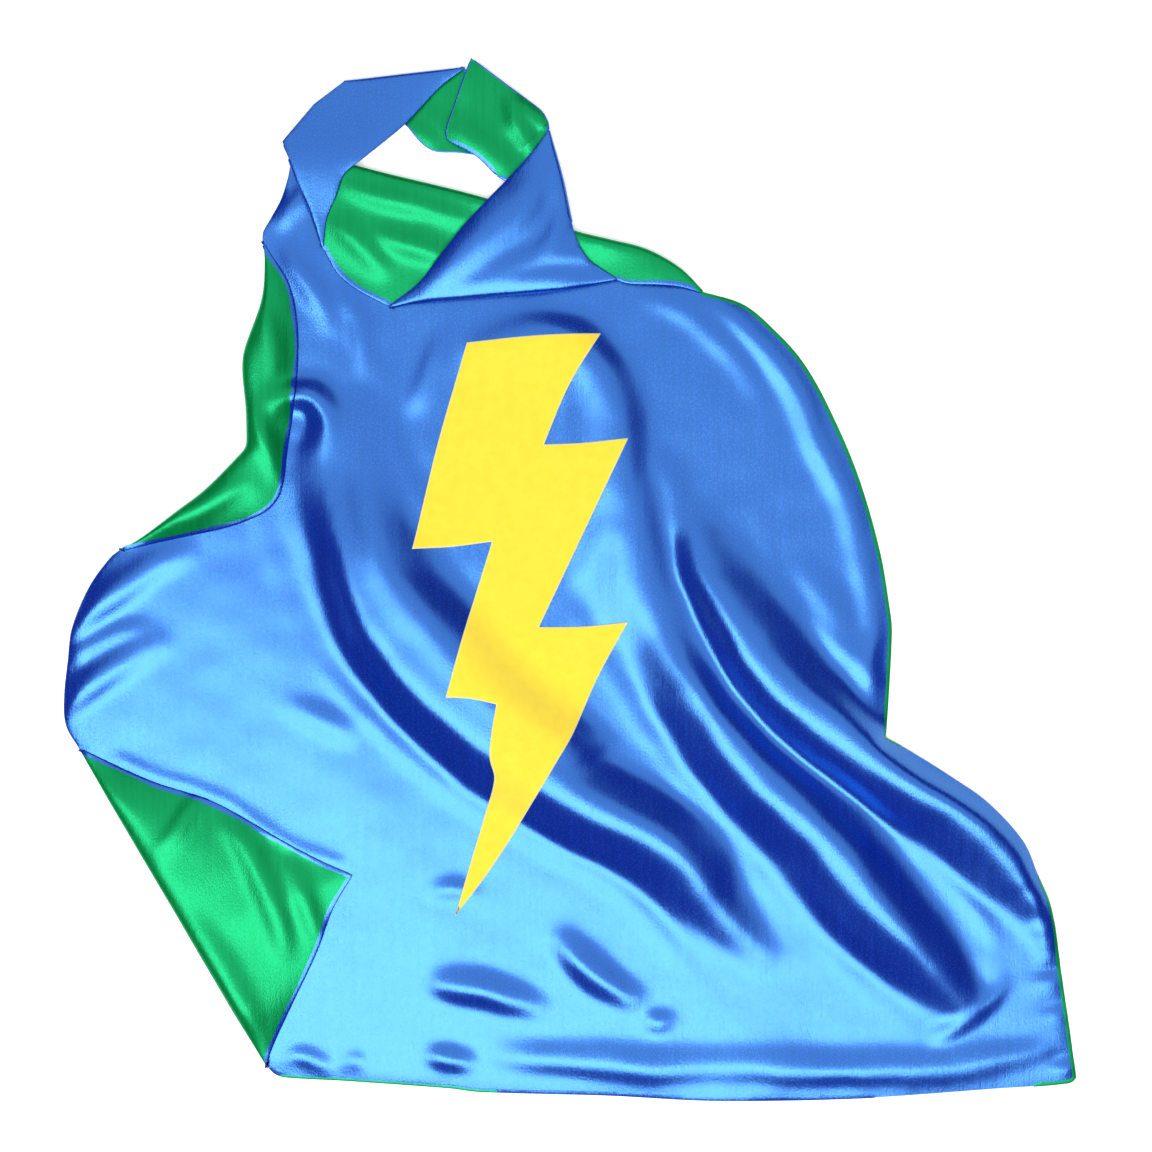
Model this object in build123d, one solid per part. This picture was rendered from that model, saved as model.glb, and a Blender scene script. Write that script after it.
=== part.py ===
from build123d import *
import os

# A child's reversible satin cape, laid out flat with its face side up and its folds in place.
# Millimetres. X runs across the cape, +Y towards the neck, +Z up from the table at Z = 0.

# ---- Cloth
PANEL = 0.4                       # thickness of the satin face, and of the satin lining
CORE = 0.3                        # room between the two, where the seam thread runs
PAIR = 2 * PANEL + CORE           # the two panels together
SEAM = 0.24                       # the seam thread
SEAM_INSET = 0.9                  # from the sewn edge to the seam thread

# ---- Heights of the underside of each layer of the folded cape
BODY = 0.0                        # the spread body and the left strap's tab, on the table
TURNED = 6.9                      # the left edge and the lower corner, turned back over the body
FLAP = 7.0                        # the upper back, folded down over the body
OVER = 14.0                       # the left strap and the right shoulder, on top of the flap
CLOSURE = 3.9                     # the right strap's end, closed on the left strap's tab
TURNED_TOP = TURNED + PAIR
FLAP_TOP = FLAP + PAIR
OVER_TOP = OVER + PAIR
FOLD_END = 6.0                    # how far past a fold's two ends its room reaches, in all
FOLD_SETBACK = 1.5                # the half tube of a fold stops this short of each end of its line

# ---- Closure: a hook patch and a loop patch
PATCH_LENGTH = 30.0
PATCH_WIDTH = 25.0
PATCH_CENTRE = (-58.5, 313.5)
STRAP_ANGLE = -39.2               # direction of the right strap's end in plan, degrees
LOOP_THICKNESS = 0.9
HOOK_THICKNESS = 1.0
THREAD = 0.2                      # height of a stitch that lies on a surface
THREAD_WIDTH = 0.35
STITCH = 2.2                      # length of one stitch
STITCH_PITCH = 3.0
HINGE = ((-53.5, 273.7), (-17.1, 312.5))    # line that the strap's end peels back about
HINGE_GAP = 0.3

# ---- Bolt
FELT = 1.5
BOND = 0.1
BOND_INSET = 1.0

# ---- Fold lines, each the outermost line of its fold, with the outside on its right hand
TOP_FOLD_RIGHT = ((90, 196), (27, 232))
TOP_FOLD_LEFT = ((27, 232), (-193, 296))
BOTTOM_FOLD = ((-122, 184), (31, 203))
LEFT_STRAP_CREASE = ((-190, 284), (-168, 226))
LEFT_STRAP_TURN = ((-78, 347.5), (-153, 339))
RIGHT_STRAP_TURN = ((-1, 247), (-14, 306))
CURL_FOLD_UPPER = ((-209, 214), (-220, 92))
CURL_FOLD_LOWER = ((-220, 88), (-290, 29))
CORNER_FOLD = ((-333, -116), (-205, -330))

# ---- Sewn edges, each in the order that walks anticlockwise round its layer
LEFT_SHOULDER = ((-190, 284), (-195, 260), (-207, 238), (-209, 222))
LEFT_SIDE = ((-306, 20), (-326, -5), (-340, -37), (-342.8, -87), (-333, -116))
HEM = ((-205, -330), (-194, -337), (-82, -345), (99, -353.4), (284, -347), (344, -340))
RIGHT_SIDE_LOWER = ((344, -340), (334, -271), (323, -210), (284, -152), (214, -107))
RIGHT_SIDE_UPPER = ((214, -107), (218, -21), (195, 73), (157, 149), (90, 196))
FLAP_LEFT_NECK = ((-168, 226), (-158, 209), (-122, 184))
FLAP_RIGHT_EDGE = ((31, 203), (60, 200), (90, 196))
CURL_EDGE = ((-290, 29), (-235, 36), (-198, 58), (-186, 130), (-188, 188), (-209, 222))
CORNER_SIDE = ((-205, -330), (-172, -252), (-148, -201))
CORNER_TOP = ((-148, -201), (-245, -150), (-333, -116))
RIGHT_NECK = ((-14, 306), (-54, 258), (-87, 220), (-122, 184))
RIGHT_SHOULDER = ((31, 203), (12, 216), (3, 236))
LEFT_STRAP_INNER = ((-168, 226), (-158, 260), (-139, 285), (-111, 310), (-78, 344))
LEFT_STRAP_OUTER = ((-153, 339), (-173, 322), (-193, 296), (-190, 284))
TAB_LOWER = ((-153, 339), (-112, 309), (-92, 292), (-56, 287), (-36, 303))
TAB_UPPER = ((-36, 303), (-37, 322), (-78, 344))
STRAP_END_UPPER = ((-14, 306), (-18, 317), (-67, 354.5))
STRAP_END_TIP = ((-67, 354.5), (-84, 304), (-78, 296))
STRAP_END_LOWER = ((-78, 296), (-44, 271), (-1, 247))

# ---- The lightning bolt, anticlockwise from its point
BOLT = ((-78, -228), (39, -29), (-21, -32), (39, 96), (-18, 92), (21, 167),
        (-70, 161), (-107, 21), (-53, 26), (-84, -79), (-50, -84))

# ---- Topstitches that close the gap the cape was turned out through
CLOSING_START = (-109, -343)
CLOSING_END = (27, -350)
CLOSING_INSET = 1.8


def run(points):
    """One edge through the points: straight between two, smooth through more."""
    return Line(*points) if len(points) == 2 else Spline(*points)


def moved_in(line, distance):
    """The line, moved to its left hand by the distance."""
    start = Vector(*line[0])
    end = Vector(*line[1])
    left = (end - start).normalized().rotate(Axis.Z, 90) * distance
    return tuple((point.X + left.X, point.Y + left.Y) for point in (start, end))


def outline(*stretches):
    """The area inside the stretches, walked in order and joined end to end."""
    edges = []
    for here, after in zip(stretches, stretches[1:] + stretches[:1]):
        edges.append(run(here))
        if (Vector(*here[-1]) - Vector(*after[0])).length > 0.01:
            edges.append(Line(here[-1], after[0]))
    return make_face(edges)


def slab(area, bottom, thickness):
    """The area as a solid of that thickness, standing on that height."""
    return extrude(Pos(0, 0, bottom) * area, amount=thickness, dir=(0, 0, 1))


def layer(area, bottom, face_up):
    """The two panels over an area: the face slab, then the lining slab."""
    lower = slab(area, bottom, PANEL)
    upper = slab(area, bottom + PANEL + CORE, PANEL)
    return (upper, lower) if face_up else (lower, upper)


def half_tube(line, low, high, depth):
    """A half tube round a fold between the heights low and high, depth inside its outermost skin."""
    outer = (high - low) / 2
    axis_line = moved_in(line, outer)
    start = Vector(*axis_line[0], (low + high) / 2)
    end = Vector(*axis_line[1], (low + high) / 2)
    setback = (end - start).normalized() * FOLD_SETBACK
    start += setback
    end -= setback
    plane = Plane(origin=start, x_dir=(0, 0, 1), z_dir=end - start)
    ring = Circle(outer - depth) - Circle(outer - depth - PANEL)
    half = ring & Pos(0, outer) * Rectangle(2 * outer, 2 * outer)
    return extrude(plane * half, amount=(end - start).length)


def fold(line, low, high, face_outside):
    """The two panels round a fold: the face tube, then the lining tube."""
    outer = half_tube(line, low, high, 0)
    inner = half_tube(line, low, high, PANEL + CORE)
    return (outer, inner) if face_outside else (inner, outer)


def without(area, line, low, high):
    """The area, stopped short of a fold's outermost line to leave the fold its room."""
    reach = (high - low) / 2
    middle = (Vector(*line[0]) + Vector(*line[1])) * 0.5
    span = Vector(*line[1]) - Vector(*line[0])
    turn = Vector(1, 0, 0).get_signed_angle(span, Vector(0, 0, 1))
    return area - Pos(middle.X, middle.Y) * Rot(0, 0, turn) * Rectangle(span.length + FOLD_END, 2 * reach)


def body_area():
    """The spread body."""
    area = outline(
        TOP_FOLD_RIGHT, TOP_FOLD_LEFT, LEFT_SHOULDER, CURL_FOLD_UPPER, CURL_FOLD_LOWER,
        LEFT_SIDE, CORNER_FOLD, HEM, RIGHT_SIDE_LOWER, RIGHT_SIDE_UPPER)
    for line in (TOP_FOLD_RIGHT, TOP_FOLD_LEFT):
        area = without(area, line, BODY, FLAP_TOP)
    for line in (CURL_FOLD_UPPER, CURL_FOLD_LOWER, CORNER_FOLD):
        area = without(area, line, BODY, TURNED_TOP)
    return area


def flap_area():
    """The upper back, folded down over the body."""
    area = outline(
        TOP_FOLD_RIGHT, TOP_FOLD_LEFT, LEFT_STRAP_CREASE, FLAP_LEFT_NECK, BOTTOM_FOLD, FLAP_RIGHT_EDGE)
    for line in (TOP_FOLD_RIGHT, TOP_FOLD_LEFT):
        area = without(area, line, BODY, FLAP_TOP)
    for line in (LEFT_STRAP_CREASE, BOTTOM_FOLD):
        area = without(area, line, FLAP, OVER_TOP)
    return area


def left_strap_area():
    """The left strap, on top of the flap."""
    area = outline(LEFT_STRAP_INNER, LEFT_STRAP_TURN, LEFT_STRAP_OUTER, LEFT_STRAP_CREASE)
    area = without(area, LEFT_STRAP_TURN, BODY, OVER_TOP)
    return without(area, LEFT_STRAP_CREASE, FLAP, OVER_TOP)


def left_tab_area():
    """The end of the left strap, turned under it."""
    return without(outline(LEFT_STRAP_TURN, TAB_LOWER, TAB_UPPER), LEFT_STRAP_TURN, BODY, OVER_TOP)


def right_shoulder_area():
    """The right shoulder and the foot of its strap, on top of the flap."""
    area = outline(BOTTOM_FOLD, RIGHT_SHOULDER, RIGHT_STRAP_TURN, RIGHT_NECK)
    area = without(area, BOTTOM_FOLD, FLAP, OVER_TOP)
    return without(area, RIGHT_STRAP_TURN, CLOSURE, OVER_TOP)


def right_strap_area():
    """The right strap beyond its turn, before it is split at the hinge line."""
    area = outline(RIGHT_STRAP_TURN, STRAP_END_UPPER, STRAP_END_TIP, STRAP_END_LOWER)
    return without(area, RIGHT_STRAP_TURN, CLOSURE, OVER_TOP)


def curled_side_area():
    """The left side of the body, curled over on top of it."""
    area = outline(CURL_FOLD_UPPER, CURL_FOLD_LOWER, CURL_EDGE)
    for line in (CURL_FOLD_UPPER, CURL_FOLD_LOWER):
        area = without(area, line, BODY, TURNED_TOP)
    return area


def turned_corner_area():
    """The lower left corner, turned back over the body."""
    return without(outline(CORNER_FOLD, CORNER_SIDE, CORNER_TOP), CORNER_FOLD, BODY, TURNED_TOP)


def beyond_hinge(outwards):
    """A large area on one side of the hinge line, half the hinge gap away from it."""
    start = Vector(*HINGE[0])
    end = Vector(*HINGE[1])
    along = (end - start).normalized()
    out = along.rotate(Axis.Z, 90 * outwards)
    reach = 150
    centre = (start + end) * 0.5 + out * (reach / 2 + HINGE_GAP / 2)
    turn = Vector(1, 0, 0).get_signed_angle(along, Vector(0, 0, 1))
    return Pos(centre.X, centre.Y) * Rot(0, 0, turn) * Rectangle(reach, reach)


def layers():
    """Each flat layer: its area, its height, whether its face is up, and its sewn edges.

    A sewn edge goes with the direction, in plan, from the edge into the layer."""
    strap_root = right_strap_area() & beyond_hinge(-1)
    return [
        (body_area(), BODY, True, [
            (LEFT_SHOULDER, (1, 0)), (LEFT_SIDE, (1, 0.2)), (HEM, (0, 1)),
            (RIGHT_SIDE_LOWER, (-1, -0.5)), (RIGHT_SIDE_UPPER, (-1, -0.3))]),
        (flap_area(), FLAP, False, [(FLAP_LEFT_NECK, (1, 0.8)), (FLAP_RIGHT_EDGE, (0, 1))]),
        (left_strap_area(), OVER, True, [(LEFT_STRAP_INNER, (-1, 0.5)), (LEFT_STRAP_OUTER, (1, -0.5))]),
        (left_tab_area(), BODY, False, [(TAB_LOWER, (0.3, 1)), (TAB_UPPER, (-0.6, -1))]),
        (right_shoulder_area(), OVER, True, [(RIGHT_NECK, (1, -1)), (RIGHT_SHOULDER, (-1, 0))]),
        (strap_root, CLOSURE, False, [(STRAP_END_LOWER, (0.4, 0.8))]),
        (curled_side_area(), TURNED, False, [(CURL_EDGE, (-1, 0.5))]),
        (turned_corner_area(), TURNED, False, [(CORNER_SIDE, (-1, 0.3)), (CORNER_TOP, (-0.4, -1))]),
    ]


def folds():
    """The two panels round each fold."""
    return [
        fold(TOP_FOLD_RIGHT, BODY, FLAP_TOP, face_outside=False),
        fold(TOP_FOLD_LEFT, BODY, FLAP_TOP, face_outside=False),
        fold(BOTTOM_FOLD, FLAP, OVER_TOP, face_outside=True),
        fold(LEFT_STRAP_CREASE, FLAP, OVER_TOP, face_outside=True),
        fold(LEFT_STRAP_TURN, BODY, OVER_TOP, face_outside=True),
        fold(RIGHT_STRAP_TURN, CLOSURE, OVER_TOP, face_outside=True),
        fold(CURL_FOLD_UPPER, BODY, TURNED_TOP, face_outside=False),
        fold(CURL_FOLD_LOWER, BODY, TURNED_TOP, face_outside=False),
        fold(CORNER_FOLD, BODY, TURNED_TOP, face_outside=False),
    ]


def seam(area, bottom, sewn_edges):
    """Seam thread between the panels of a layer, just inside each of its sewn edges."""
    threads = []
    for points, toward in sewn_edges:
        inset = Vector(*toward).normalized() * SEAM_INSET
        path = trace(Pos(inset.X, inset.Y) * run(points), SEAM)
        threads.append(slab(path, bottom + PANEL + (CORE - SEAM) / 2, SEAM) & slab(area, bottom, PAIR))
    return threads


def main_body(flat_layers):
    """The face panel, the lining panel and the seam, all but the right strap's end."""
    pairs = [layer(area, bottom, face_up) for area, bottom, face_up, _ in flat_layers] + folds()
    face = Part() + [pair[0] for pair in pairs]
    lining = Part() + [pair[1] for pair in pairs]
    threads = [thread for area, bottom, _, edges in flat_layers for thread in seam(area, bottom, edges)]
    return face, lining, Part() + threads


def strap_end():
    """The peeling end of the right strap: its face, its lining and its seam."""
    area = right_strap_area() & beyond_hinge(1)
    face, lining = layer(area, CLOSURE, face_up=False)
    edges = [(STRAP_END_UPPER, (-0.6, -0.8)), (STRAP_END_TIP, (1, 0)), (STRAP_END_LOWER, (0.4, 0.8))]
    return face, lining, Part() + seam(area, CLOSURE, edges)


def on_patch(shape):
    """The shape, drawn about the origin, set on the closure's patches."""
    return Pos(*PATCH_CENTRE) * Rot(0, 0, STRAP_ANGLE) * shape


def patch(bottom, thickness):
    """A rectangular patch of hook tape or loop tape with rounded corners."""
    return slab(on_patch(RectangleRounded(PATCH_LENGTH, PATCH_WIDTH, 2)), bottom, thickness)


def patch_stitches(bottom):
    """Stitches round a patch, just inside its edge."""
    long_side = PATCH_LENGTH / 2 - 2
    short_side = PATCH_WIDTH / 2 - 2
    along = range(-4, 5)
    across = range(-3, 4)
    lying = Rectangle(STITCH, THREAD_WIDTH)
    standing = Rectangle(THREAD_WIDTH, STITCH)
    stitches = [Pos(STITCH_PITCH * i * 0.9, side * short_side) * lying for i in along for side in (-1, 1)]
    stitches += [Pos(side * long_side, STITCH_PITCH * i * 0.9) * standing for i in across for side in (-1, 1)]
    return Part() + [slab(on_patch(stitch), bottom, THREAD) for stitch in stitches]


def closing_stitches():
    """The row of topstitches in the hem."""
    start = Vector(*CLOSING_START)
    span = Vector(*CLOSING_END) - start
    count = int(span.length / STITCH_PITCH)
    slope = Vector(1, 0, 0).get_signed_angle(span, Vector(0, 0, 1))
    stitch = Rot(0, 0, slope) * Rectangle(STITCH, THREAD_WIDTH)
    places = [start + span * (i / count) + Vector(0, CLOSING_INSET, 0) for i in range(count + 1)]
    return Part() + [slab(Pos(place.X, place.Y) * stitch, BODY + PAIR, THREAD) for place in places]


def bolt():
    """The felt bolt and the film that bonds it to the face."""
    area = make_face(Polyline(*BOLT, close=True))
    film = offset(area, -BOND_INSET, kind=Kind.INTERSECTION)
    return slab(area, BODY + PAIR + BOND, FELT), slab(film, BODY + PAIR, BOND)


def build():
    """Every node of the cape, by name."""
    face, lining, thread = main_body(layers())
    strap_face, strap_lining, strap_thread = strap_end()
    felt, film = bolt()
    loop_bottom = BODY + PAIR
    hook_bottom = CLOSURE - HOOK_THICKNESS
    return {
        "face_panel": face,
        "lining_panel": lining,
        "edge_seam_thread": thread,
        "hem_closing_stitches": closing_stitches(),
        "lightning_bolt": felt,
        "bolt_bond_film": film,
        "loop_patch": patch(loop_bottom, LOOP_THICKNESS),
        "loop_patch_stitches": patch_stitches(loop_bottom + LOOP_THICKNESS),
        "hook_patch": patch(hook_bottom, HOOK_THICKNESS),
        "hook_patch_stitches": patch_stitches(hook_bottom - THREAD),
        "strap_end_face": strap_face,
        "strap_end_lining": strap_lining,
        "strap_end_seam_thread": strap_thread,
    }


os.makedirs("parts", exist_ok=True)
for name, shape in build().items():
    export_step(shape, f"parts/{name}.step")
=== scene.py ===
import math

import bmesh
import bpy
import numpy as np
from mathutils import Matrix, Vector
from mathutils.bvhtree import BVHTree
from mathutils.geometry import delaunay_2d_cdt


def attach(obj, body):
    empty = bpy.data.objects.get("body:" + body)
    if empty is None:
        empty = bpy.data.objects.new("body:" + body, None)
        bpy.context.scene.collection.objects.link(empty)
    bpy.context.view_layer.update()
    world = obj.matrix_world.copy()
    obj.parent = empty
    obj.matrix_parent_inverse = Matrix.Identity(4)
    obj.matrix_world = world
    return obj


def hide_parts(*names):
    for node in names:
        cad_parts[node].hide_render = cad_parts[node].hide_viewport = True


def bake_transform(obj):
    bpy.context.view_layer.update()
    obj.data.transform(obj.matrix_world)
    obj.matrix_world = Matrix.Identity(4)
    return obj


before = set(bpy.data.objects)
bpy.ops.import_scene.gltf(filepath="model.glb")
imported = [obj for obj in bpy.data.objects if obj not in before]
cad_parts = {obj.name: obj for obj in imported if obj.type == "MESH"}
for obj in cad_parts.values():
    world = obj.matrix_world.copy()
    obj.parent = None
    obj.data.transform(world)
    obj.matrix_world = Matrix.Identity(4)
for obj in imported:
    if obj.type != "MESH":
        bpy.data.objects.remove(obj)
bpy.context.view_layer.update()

# A reversible satin cape, folded as it lies. Lengths are millimetres, and meshes are made in metres.
MM = 0.001
SPACING = 2.9  # between the points of the cloth
EDGE_STEP = 3.0  # between points along an edge or a fold
HALF = 0.3  # from the middle of the two panels to the outside of either
ROLL_STEPS = 10  # across the roll of a fold
RIDGE_STEP, CREASE_STEP = 4.0, 6.0  # between points along a ridge, and along a fine crease
ROW_SHARE = 0.866  # height of an even triangle, as a share of its side
FIRST_SPLINE_STEPS = 16  # between two given points, before a curve is spaced evenly
TAPER_SHARE = 0.18  # of a fold's length, over which its roll opens at either end


# ---- curves in plan

def smooth_line(points, step=EDGE_STEP):
    """Evenly spaced points along a smooth curve through the given ones."""
    p = np.array(points, float)
    if len(p) > 2:
        t = np.r_[0, np.cumsum(np.linalg.norm(np.diff(p[:, :2], axis=0), axis=1))]
        m = np.empty_like(p)
        m[1:-1] = (p[2:] - p[:-2]) / (t[2:] - t[:-2])[:, None]
        m[0] = (p[1] - p[0]) / (t[1] - t[0])
        m[-1] = (p[-1] - p[-2]) / (t[-1] - t[-2])
        u = np.linspace(0, 1, FIRST_SPLINE_STEPS, endpoint=False)[:, None]
        parts = []
        for i in range(len(p) - 1):
            h = t[i + 1] - t[i]
            parts.append((2 * u**3 - 3 * u**2 + 1) * p[i] + (u**3 - 2 * u**2 + u) * h * m[i]
                         + (3 * u**2 - 2 * u**3) * p[i + 1] + (u**3 - u**2) * h * m[i + 1])
        p = np.vstack(parts + [p[-1:]])
    s = np.r_[0, np.cumsum(np.linalg.norm(np.diff(p[:, :2], axis=0), axis=1))]
    count = max(2, int(round(s[-1] / step)) + 1)
    even = np.linspace(0, s[-1], count)
    return np.column_stack([np.interp(even, s, p[:, k]) for k in range(p.shape[1])])


def right_hand(line):
    """Unit vectors to the right of the direction of travel, at each point."""
    d = np.gradient(line[:, :2], axis=0)
    d /= np.linalg.norm(d, axis=1)[:, None]
    return np.column_stack([d[:, 1], -d[:, 0]])


def tapered(line, full, start, end):
    """A width for each point of the line: full in the middle, start and end times that at its ends."""
    s = np.linspace(0, 1, len(line))
    opening = np.clip(s / TAPER_SHARE, 0, 1)
    closing = np.clip((1 - s) / TAPER_SHARE, 0, 1)
    opening = opening * opening * (3 - 2 * opening)
    closing = closing * closing * (3 - 2 * closing)
    return full * (start + (1 - start) * opening) * (end + (1 - end) * closing)


def inset(line, widths):
    """The line moved to the left of its direction of travel, by a width at each point."""
    return line - right_hand(line) * np.asarray(widths)[:, None]


def fold(line, radius, start, end):
    """A fold's outermost line, the radii of its roll, and the line where its roll starts."""
    radii = tapered(line, radius, start, end)
    return line, radii, inset(line, radii)


def along(*points):
    """An edge through the points, each a pair or a row of another line."""
    return smooth_line([tuple(p) for p in points])


# ---- folds

TOP, TOP_R, TOP_IN = fold(
    smooth_line([(90, 196.5), (75, 211.5), (52, 224.5), (27, 231), (3, 237), (-54, 258), (-141, 280),
                 (-193, 296)]), 4.4, 0.3, 0.5)
BOTTOM, BOTTOM_R, BOTTOM_IN = fold(
    smooth_line([(-122, 184.5), (-104, 187.5), (-68, 190.5), (-7, 195.5), (12, 199), (31, 203)]),
    3.4, 0.4, 0.35)
CREASE, CREASE_R, CREASE_IN = fold(
    smooth_line([(-190.5, 284), (-186, 270), (-177.5, 252), (-168.5, 226)]), 2.6, 0.5, 0.35)
TURN, TURN_R, TURN_IN = fold(smooth_line([(-72, 348), (-112, 343.5), (-153, 338.6)]), 2.6, 0.35, 0.4)
RIGHT_TURN, RIGHT_TURN_R, RIGHT_TURN_IN = fold(
    smooth_line([(1.5, 243), (-4.5, 272), (-13.6, 304)]), 2.8, 0.4, 0.4)
CURL_UPPER = smooth_line([(-208.5, 230), (-207, 218), (-209, 190), (-221, 155), (-222, 141), (-219.5, 114),
                          (-219, 90)])
CURL_LOWER = smooth_line([(-219, 90), (-247, 61.5), (-266, 47), (-293, 27), (-306, 20)])
CURL, CURL_R, CURL_IN = fold(np.vstack([CURL_UPPER[:-1], CURL_LOWER]), 4.0, 0.05, 0.05)
CORNER, CORNER_R, CORNER_IN = fold(smooth_line([(-333, -115), (-205.5, -331)]), 4.2, 0.05, 0.15)

# ---- sewn edges

LEFT_SHOULDER = along(TOP_IN[-1], (-189.5, 284), (-194.5, 262), (-203, 245), (-208, 236), CURL_IN[0])
LEFT_SIDE = along(CURL_IN[-1], (-312, 15), (-326.5, -5), (-338, -33), (-341, -56), (-343.4, -80), (-342, -99),
                  CORNER_IN[0])
HEM = along(CORNER_IN[-1], (-201, -335), (-194, -337.5), (-152, -340), (-82, -345), (-61, -347.5), (25, -350),
            (99, -353.6), (197, -352), (284, -346), (340, -341.5), (343.6, -338))
RIGHT_LOWER = along((343.6, -338), (338, -298), (334, -271), (327, -224), (317.5, -200), (308, -178),
                    (284, -151.5), (260, -134.5), (230.5, -116), (214.2, -107))
RIGHT_UPPER = along((214.2, -107), (215.6, -88), (218.3, -35), (217, -21), (210, 20), (194.5, 73),
                    (172.7, 122.5), (157, 149), (140, 168), (118, 186.5), TOP_IN[0])
CURL_EDGE = along(CURL_IN[-1], (-275, 27), (-235, 35.5), (-214, 43), (-203, 50), (-196.5, 60.5), (-192, 90),
                  (-186.5, 129), (-185, 165), (-187.5, 188), (-193, 205), (-204.5, 222.5), CURL_IN[0])
CORNER_SIDE = along(CORNER_IN[-1], (-204, -321.5), (-188.5, -287), (-172, -252), (-161, -222.5),
                    (-148.2, -200.6))
CORNER_EDGE = along((-148.2, -200.6), (-172, -190), (-196.5, -177), (-220, -163), (-245, -150),
                    (-285, -136.8), CORNER_IN[0])
FLAP_NECK = along(CREASE_IN[-1], (-158, 209), (-148, 200), (-139, 194.5), BOTTOM_IN[0])
FLAP_SIDE = along(BOTTOM_IN[-1], (39, 201.3), (60, 200.5), (75, 199.2), TOP_IN[0])
FLAP_END = along(TOP_IN[-1], CREASE_IN[0])
SHOULDER = along(BOTTOM_IN[-1], (20, 211), (12, 216.5), (5, 228), RIGHT_TURN_IN[0])
NECK = along(RIGHT_TURN_IN[-1], (-24, 291), (-43, 270), (-54.5, 258), (-71, 240), (-87, 220), (-102, 201),
             BOTTOM_IN[0])
STRAP_INNER = along(CREASE_IN[-1], (-165, 245), (-158.5, 260.5), (-153, 274.5), (-139.5, 286), (-111.5, 310),
                    (-88, 335), TURN_IN[0])
STRAP_OUTER = np.vstack([along(TURN_IN[-1], (-173, 322)), along((-173, 322), (-194, 296.5)),
                         along((-194, 296.5), CREASE_IN[0])])
TAB = along(TURN_IN[-1], (-130, 321), (-112, 310), (-102, 298.5), (-92.5, 292), (-77.5, 291), (-56, 290),
            (-41, 302), (-41, 318), (-56, 332), TURN_IN[0])
HINGE_A, HINGE_B = (-53.5, 273.7), (-17.1, 312.5)  # the line that the strap's end peels about
CUT_BACK = 3.0  # the separate strap end starts this far before it


def hinge_point(t, out):
    """A point at the fraction t along the hinge line, moved out towards the strap's free end."""
    a, b = np.array(HINGE_A), np.array(HINGE_B)
    d = (b - a) / np.linalg.norm(b - a)
    return tuple(a + t * (b - a) + np.array([-d[1], d[0]]) * out)


CUT_LOW = hinge_point(0.06, -CUT_BACK)
CUT_HIGH = hinge_point(1.0, -CUT_BACK)
CUT = along(CUT_LOW, CUT_HIGH)
ROOT_LOWER = along(CUT_LOW, (-43, 270.5), (-22, 256), RIGHT_TURN_IN[0])
ROOT_UPPER = along(RIGHT_TURN_IN[-1], (-14.5, 308), CUT_HIGH)
END_UPPER = along(CUT_HIGH, (-19, 317.5), (-29, 325.5), (-42, 335), (-67, 353.8))
END_TIP = along((-67, 353.8), (-76, 328), (-84, 304.5), (-83, 299), (-78, 296))
END_LOWER = along((-78, 296), (-63, 287.5), CUT_LOW)


# ---- heights

def thin_plate(points):
    """A smooth height over the plane through the given (x, y, height) points."""
    c = np.array(points, float)
    k = len(c)

    def kernel(a, b):
        r2 = ((a[:, None, :] - b[None, :, :]) ** 2).sum(-1) + 1e-9
        return 0.5 * r2 * np.log(r2)

    full = np.zeros((k + 3, k + 3))
    full[:k, :k] = kernel(c[:, :2], c[:, :2])
    full[:k, k:] = np.column_stack([np.ones(k), c[:, :2]])
    full[k:, :k] = full[:k, k:].T
    w = np.linalg.solve(full, np.r_[c[:, 2], 0, 0, 0])

    def height(xy):
        return kernel(xy, c[:, :2]) @ w[:k] + w[k] + xy @ w[k + 1:]

    return height


BLOCK = 4000  # points measured at a time, to spare memory


def nearest(xy, line):
    """For each point of xy: its distance from the line, and the index of the line's nearest point."""
    distance = np.empty(len(xy))
    index = np.empty(len(xy), int)
    for i in range(0, len(xy), BLOCK):
        d2 = ((xy[i:i + BLOCK, None, :] - line[None, :, :2]) ** 2).sum(-1)
        index[i:i + BLOCK] = d2.argmin(1)
        distance[i:i + BLOCK] = np.sqrt(d2.min(1))
    return distance, index


def fall(u):
    """From 1 at 0 to 0 at 1 and beyond, level at both."""
    return np.where(u < 1, np.cos(np.pi / 2 * np.minimum(u, 1)) ** 2, 0)


def ridge(xy, spine):
    """A ridge of (x, y, height, width on the right, width on the left) points, walked in order."""
    line = smooth_line(spine, RIDGE_STEP)
    distance, index = nearest(xy, line)
    away = xy - line[index, :2]
    right = (away * right_hand(line)[index]).sum(1) > 0
    width = np.where(right, line[index, 3], line[index, 4])
    return np.maximum(line[index, 2], 0) * fall(distance / width)


def joined(heights, power=3):
    """The smooth maximum of several ridges."""
    return sum(h**power for h in heights) ** (1 / power)


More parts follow.
